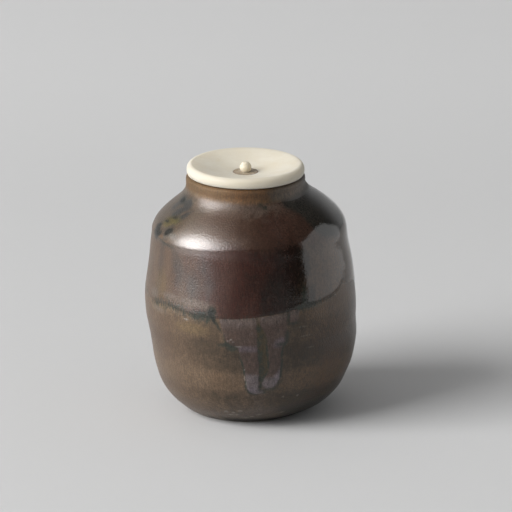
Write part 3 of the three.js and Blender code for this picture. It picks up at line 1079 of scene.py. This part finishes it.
def plug_finish():
    """Old ivory, stained dark in patches and in its joint, and darker round the knob with dirt and painted
    shade under the ball.
    """
    plug = Finish("plug_ivory")
    mottle = plug.noise(*plug_noise)
    from_middle = plug.distance_from((lid_axis, 0, plug_top))
    plug.lay(plug_tan)
    plug.lay(plug_grey, plug.ramp(mottle, 0.45, 0.7), 0.6)
    plug.lay(plug_brown, plug.ramp(mottle, 0.55, 0.35), 0.5)
    plug.lay(plug_brown, plug.ramp(from_middle, joint_dirt_from, plug_radius), 0.8)
    # Darker round the knob, with dirt and painted shade under the ball
    plug.lay(plug_brown, plug.ramp(from_middle, knob_dirt_and_shade_from, knob_dirt_and_shade_to), 0.6)
    return plug.finish(0.45, plug.bump(mottle, plug_grain_depth), IOR=1.5)


lid_plug.data.materials.append(plug_finish())
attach(lid_plug, "lid")
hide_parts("lid_plug")

# Knob
# A small ball turned from ivory in one piece with its short neck and the peg below, which is
# glued down through the plug.

knob_low, knob_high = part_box("knob")
knob_radius = (knob_high[0] - knob_low[0]) / 2
knob_neck_radius = 1.25 * mm
peg_radius = 0.8 * mm
ball_height = knob_high[2] - knob_radius
ball_rings = 40
knob_neck_rings = 4
seat = plug_top - plug_dish
waist_turn = -math.acos(knob_neck_radius / knob_radius)
ball_turn = np.linspace(waist_turn, math.pi / 2, ball_rings)
ball_line = np.column_stack([
    knob_radius * np.cos(ball_turn), ball_height + knob_radius * np.sin(ball_turn)])
ball_line[-1, 0] = 0
knob_line = np.vstack([
    straight((0, knob_low[2]), (peg_radius, knob_low[2]), short_rings),
    straight((peg_radius, knob_low[2]), (peg_radius, seat), flat_rings),
    straight((peg_radius, seat), (knob_neck_radius, seat), short_rings),
    straight((knob_neck_radius, seat), tuple(ball_line[0]), knob_neck_rings),
    ball_line,
])
knob = turned_mesh("knob_ivory", turned_about_lid(knob_line))
knob_cream = (0.650, 0.590, 0.470)
knob.data.materials.append(ivory_finish("knob_ivory", knob_cream, warm_cream, pale_cream))
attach(knob, "lid")
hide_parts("knob")

# Lid lining
# A round of soft paper pasted under the spigot, as the ground for the gold leaf. It stops a little
# short of the spigot's edge.

lining_low, lining_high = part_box("lid_lining")
lining_radius = (lining_high[0] - lining_low[0]) / 2
sheet_rings = 60
# Waves of the crinkles along x and y, in radians to the metre
crinkle_waves = (900, 1130)
crinkle_margin = 1.0 * mm


def sheet_of(name, low, high, radius, crinkle):
    """A round sheet with a flat upper face and a lower face that rises in crinkles."""
    across = np.linspace(0, radius, sheet_rings)
    under = np.column_stack([across, np.full(sheet_rings, low)])
    over = np.column_stack([across[::-1], np.full(sheet_rings, high)])
    grid = turned_about_lid(np.vstack([under, over]))
    x, y = grid[:sheet_rings, :, 0], grid[:sheet_rings, :, 1]
    ripple = np.sin(x * crinkle_waves[0] + 1) * np.sin(y * crinkle_waves[1])
    ripple *= 1 - between(across[:, None], radius - crinkle_margin, radius)
    grid[:sheet_rings, :, 2] += crinkle * (0.5 + 0.5 * ripple)
    return turned_mesh(name, grid)


lid_lining = sheet_of("lid_lining_paper", lining_low[2], lining_high[2], lining_radius, 0.0)
paper_tan = (0.560, 0.470, 0.290)
paper_brown = (0.380, 0.290, 0.160)
fibre_noise = (0.6 * mm, 6.0, 0.7, (1, 0.3, 1))
fibre_depth = 0.04 * mm


def paper_finish():
    paper = Finish("lining_paper")
    fibres = paper.noise(*fibre_noise)
    paper.lay(paper_tan)
    paper.lay(paper_brown, paper.ramp(fibres, 0.45, 0.7), 0.6)
    return paper.finish(0.9, paper.bump(fibres, fibre_depth))


lid_lining.data.materials.append(paper_finish())
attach(lid_lining, "lid")
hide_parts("lid_lining")

# Lid leaf
# Gold leaf laid on the paper in overlapping squares. It is crinkled, rubbed thin where the lip
# wears it, and lets the paper show through there.

leaf_low, leaf_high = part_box("lid_leaf")
crinkle_height = 0.05 * mm
lid_leaf = sheet_of("lid_leaf_gold", leaf_low[2], leaf_high[2], lining_radius, crinkle_height)
gold = (0.830, 0.600, 0.240)
deep_gold = (0.620, 0.400, 0.120)
worn_gold = (0.450, 0.290, 0.120)
leaf_square = 11 * mm
leaf_seam = 0.12 * mm
leaf_worn_from = lining_radius - 1.6 * mm
crinkle_noise = (1.6 * mm, 6.0, 0.65)
crinkle_depth = 0.08 * mm
leaf_cloud_noise = (5 * mm, 4.0)


def leaf_finish():
    """Gold in squares with worn seams, and worn along the edge."""
    leaf = Finish("gold_leaf")
    crinkles = leaf.noise(*crinkle_noise)
    clouds = leaf.noise(*leaf_cloud_noise)
    squares = leaf.node("ShaderNodeTexBrick", {
        "Vector": leaf.place, "Scale": 1.0, "Mortar Size": leaf_seam, "Mortar Smooth": 0.3,
        "Brick Width": leaf_square, "Row Height": leaf_square}, offset=0.35).outputs["Fac"]
    edge = leaf.ramp(leaf.distance_from((lid_axis, 0, leaf_low[2])), leaf_worn_from, lining_radius)
    leaf.lay(gold)
    leaf.lay(deep_gold, leaf.ramp(clouds, 0.42, 0.68), 0.7)
    leaf.lay(worn_gold, squares, 0.6)
    leaf.lay(worn_gold, leaf.where_all(edge, leaf.ramp(crinkles, 0.4, 0.6)), 0.8)
    roughness = leaf.ramp(crinkles, *noise_span, 0.22, 0.42)
    return leaf.finish(roughness, leaf.bump(crinkles, crinkle_depth), Metallic=1.0)


lid_leaf.data.materials.append(leaf_finish())
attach(lid_leaf, "lid")
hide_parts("lid_leaf")

# Floor
# A wide pale sheet, seen up to its far edge as background, that lies a hair below the foot. Three
# more are seen by reflections alone: one that lies in front of the table as the unlit room, a pale
# card that stands on the right and, under Lights, a tall window on the left.

floor_grey = (0.592, 0.592, 0.592)
# Painted light: the floor's grey further back
floor_far_painted_light = (0.645, 0.645, 0.645)
paler_from = 0.20
paler_to = 0.40
floor_reach = 4.0
floor_drop = 0.03 * mm


def flat_sheet(name, corners):
    mesh = bpy.data.meshes.new(name)
    mesh.from_pydata(corners, [], [tuple(range(len(corners)))])
    sheet = bpy.data.objects.new(name, mesh)
    bpy.context.scene.collection.objects.link(sheet)
    return sheet


def floor_finish():
    """Matt grey paper, with painted light making it a little paler further back."""
    ground = Finish("floor_paper")
    backward = ground.node("ShaderNodeSeparateXYZ", {0: ground.place}).outputs["Y"]
    ground.lay(floor_grey)
    # Painted light, paler further back
    ground.lay(floor_far_painted_light, ground.ramp(backward, paler_from, paler_to))
    return ground.finish(0.9)


floor = flat_sheet("floor", [
    (-floor_reach, -floor_reach, -floor_drop), (floor_reach, -floor_reach, -floor_drop),
    (floor_reach, floor_reach, -floor_drop), (-floor_reach, floor_reach, -floor_drop)])
floor.data.materials.append(floor_finish())


def glow(name, brightness, edge_brightness, edge_angle, full_angle):
    """A surface that shines by itself, less or more towards an edge, by the angle round the jar."""
    shining = Finish(name)
    edge, full = math.radians(edge_angle), math.radians(full_angle)
    strength = shining.ramp(shining.angle_round(), edge, full, edge_brightness, brightness)
    shining.put(strength, shining.shader.inputs["Emission Strength"])
    shining.put((1, 1, 1), shining.shader.inputs["Emission Color"])
    shining.lay((0, 0, 0))
    return shining.finish(1.0, Specular_IOR_Level=0.0)


def mirrored_sheet(name, corners, *brightness):
    """A flat sheet that only reflections see."""
    sheet = flat_sheet(name, corners)
    sheet.data.materials.append(glow(name, *brightness))
    sheet.visible_camera = False
    sheet.visible_diffuse = False
    sheet.visible_transmission = False
    sheet.visible_shadow = False


def placed_round(distance, angle, elevation=0.0):
    """A place at a distance from the foot, by its angle from the front and its elevation in degrees."""
    turned, raised = math.radians(angle), math.radians(elevation)
    across = distance * math.sin(turned) * math.cos(raised)
    back = -distance * math.cos(turned) * math.cos(raised)
    return across, back, distance * math.sin(raised)


# The unlit room's near edge runs along the table's front from side to side, and each far corner has
# an angle and a share of the floor's reach. It grows dark from the left edge on.
room_left = -56
room_dark = -10
room_right = 66
room_right_far = 76
room_near = 0.27
room_far_corners = ((room_right_far, 1.0), (0, 1.4), (room_left, 1.0))
room_level = 0.1 * mm
room_brightness = 0.02
room_edge_brightness = 0.56
room_corners = [(room_near * math.tan(math.radians(side)), -room_near) for side in (room_left, room_right)]
room_corners += [placed_round(reach * floor_reach, side)[:2] for side, reach in room_far_corners]
mirrored_sheet(
    "unlit_room", [(x, y, room_level) for x, y in room_corners], room_brightness, room_edge_brightness,
    room_left, room_dark)

# The card's corners, each a place along it from front to back and a height
card_distance = 0.270
card_turn = 0.04
card_outline = (
    (-0.150, 0), (0.205, 0), (0.205, 0.11), (0.185, 0.14), (0.133, 0.245), (0.065, 0.27), (-0.03, 0.25),
    (-0.139, 0.20), (-0.150, 0.10))
card_brightness = 1.35
card_back_brightness = 1.0
card_dims_from = 95
card_dims_to = 128
mirrored_sheet(
    "side_card", [(card_distance - card_turn * y, y, z) for y, z in card_outline], card_brightness,
    card_back_brightness, card_dims_to, card_dims_from)

# Lights
# One tall soft light from the left and a little in front, and a fill from the whole room that is
# stronger on the left. The jar mirrors the tall window behind the light rather than the light itself.

key_angle = -65
key_elevation = 31
key_distance = 3.0
key_width = 2.0
key_height = 2.1
key_power = 115.0

key_direction = Vector(placed_round(1, key_angle, key_elevation))
key = bpy.data.lights.new("key", "AREA")
key.shape = "RECTANGLE"
key.size = key_width
key.size_y = key_height
key.energy = key_power
key_light = bpy.data.objects.new("key", key)
key_light.location = key_direction * key_distance
key_light.rotation_euler = key_direction.to_track_quat("Z", "Y").to_euler()
key_light.visible_glossy = False
bpy.context.scene.collection.objects.link(key_light)

# The window's corners, each an angle and an elevation, round from the lower left
window_left = -91
window_middle = -50
window_right = -20
window_low = 4
window_high = 44
window_corners = (
    (window_left, window_low), (window_middle, window_low), (window_right, 30), (window_right, 56),
    (window_middle, window_high), (window_left, window_high))
window_distance = 3.1
window_brightness = 14.0
window_full = -80
mirrored_sheet(
    "window", [placed_round(window_distance, *corner) for corner in window_corners], window_brightness,
    0.0, window_right, window_full)

fill_left = 0.50
fill_right = 0.23
room_seen = 0.53
room_mirrored = 0.03
backdrop_mirrored = 0.50
backdrop_heights = (0.62, 0.25)
backdrop_depths = (0.5, 0.8)


def light_room():
    """A world that fills more from the left, is seen as pale as the floor and is mirrored as a dim room."""
    world = bpy.data.worlds.new("room")
    bpy.context.scene.world = world
    world.use_nodes = True
    room = NodeTree(world.node_tree)

    def along(axis, span, start, end):
        """A value that goes from start to end as the direction goes over a span along an axis."""
        values = {"Value": axis, "From Min": span[0], "From Max": span[1], "To Min": start, "To Max": end}
        return room.node("ShaderNodeMapRange", values).outputs["Result"]

    def mixed(share, first, second):
        return room.node("ShaderNodeMix", {"Factor": share, "A": first, "B": second}).outputs["Result"]

    ray = room.node("ShaderNodeLightPath").outputs
    direction = room.node("ShaderNodeTexCoord").outputs["Generated"]
    axes = room.node("ShaderNodeSeparateXYZ", {0: direction}).outputs
    filled = along(axes["X"], (-1.0, 1.0), fill_left, fill_right)
    backdrop = along(axes["Z"], backdrop_heights, room_mirrored, backdrop_mirrored)
    mirrored = along(axes["Y"], backdrop_depths, room_mirrored, backdrop)
    lit = mixed(ray["Is Glossy Ray"], filled, mirrored)
    sky = room.nodes["Background"].inputs
    room.put(mixed(ray["Is Camera Ray"], lit, room_seen), sky["Strength"])
    room.put((1, 1, 1), sky["Color"])


light_room()

# Camera
# Far off and a little above, as for a long lens, and aimed so that the jar stands where it does
# in the photograph.

camera_distance = 2.6
camera_elevation = math.radians(17.5)
aim_height = 37.0 * mm
belly_pixels = 212.3
photo_size = 512
photo_middle = 256
jar_pixel = (251.3, 289.4)
sensor_width = 36.0

pixels_per_metre = belly_pixels / (2 * belly_radius)
camera = bpy.data.cameras.new("camera")
camera.sensor_width = sensor_width
camera.lens = sensor_width * camera_distance * pixels_per_metre / photo_size
camera_object = bpy.data.objects.new("camera", camera)
bpy.context.scene.collection.objects.link(camera_object)
toward = Vector((0, -math.cos(camera_elevation), math.sin(camera_elevation)))
up = Vector((0, math.sin(camera_elevation), math.cos(camera_elevation)))
aim = Vector((0, 0, aim_height))
aim.x += (photo_middle - jar_pixel[0]) / pixels_per_metre
aim += up * (jar_pixel[1] - photo_middle) / pixels_per_metre
eye = Vector((0, 0, aim_height)) + toward * camera_distance
camera_object.location = eye
camera_object.rotation_euler = (eye - aim).to_track_quat("Z", "Y").to_euler()
bpy.context.scene.camera = camera_object
bpy.context.scene.view_settings.view_transform = "Standard"
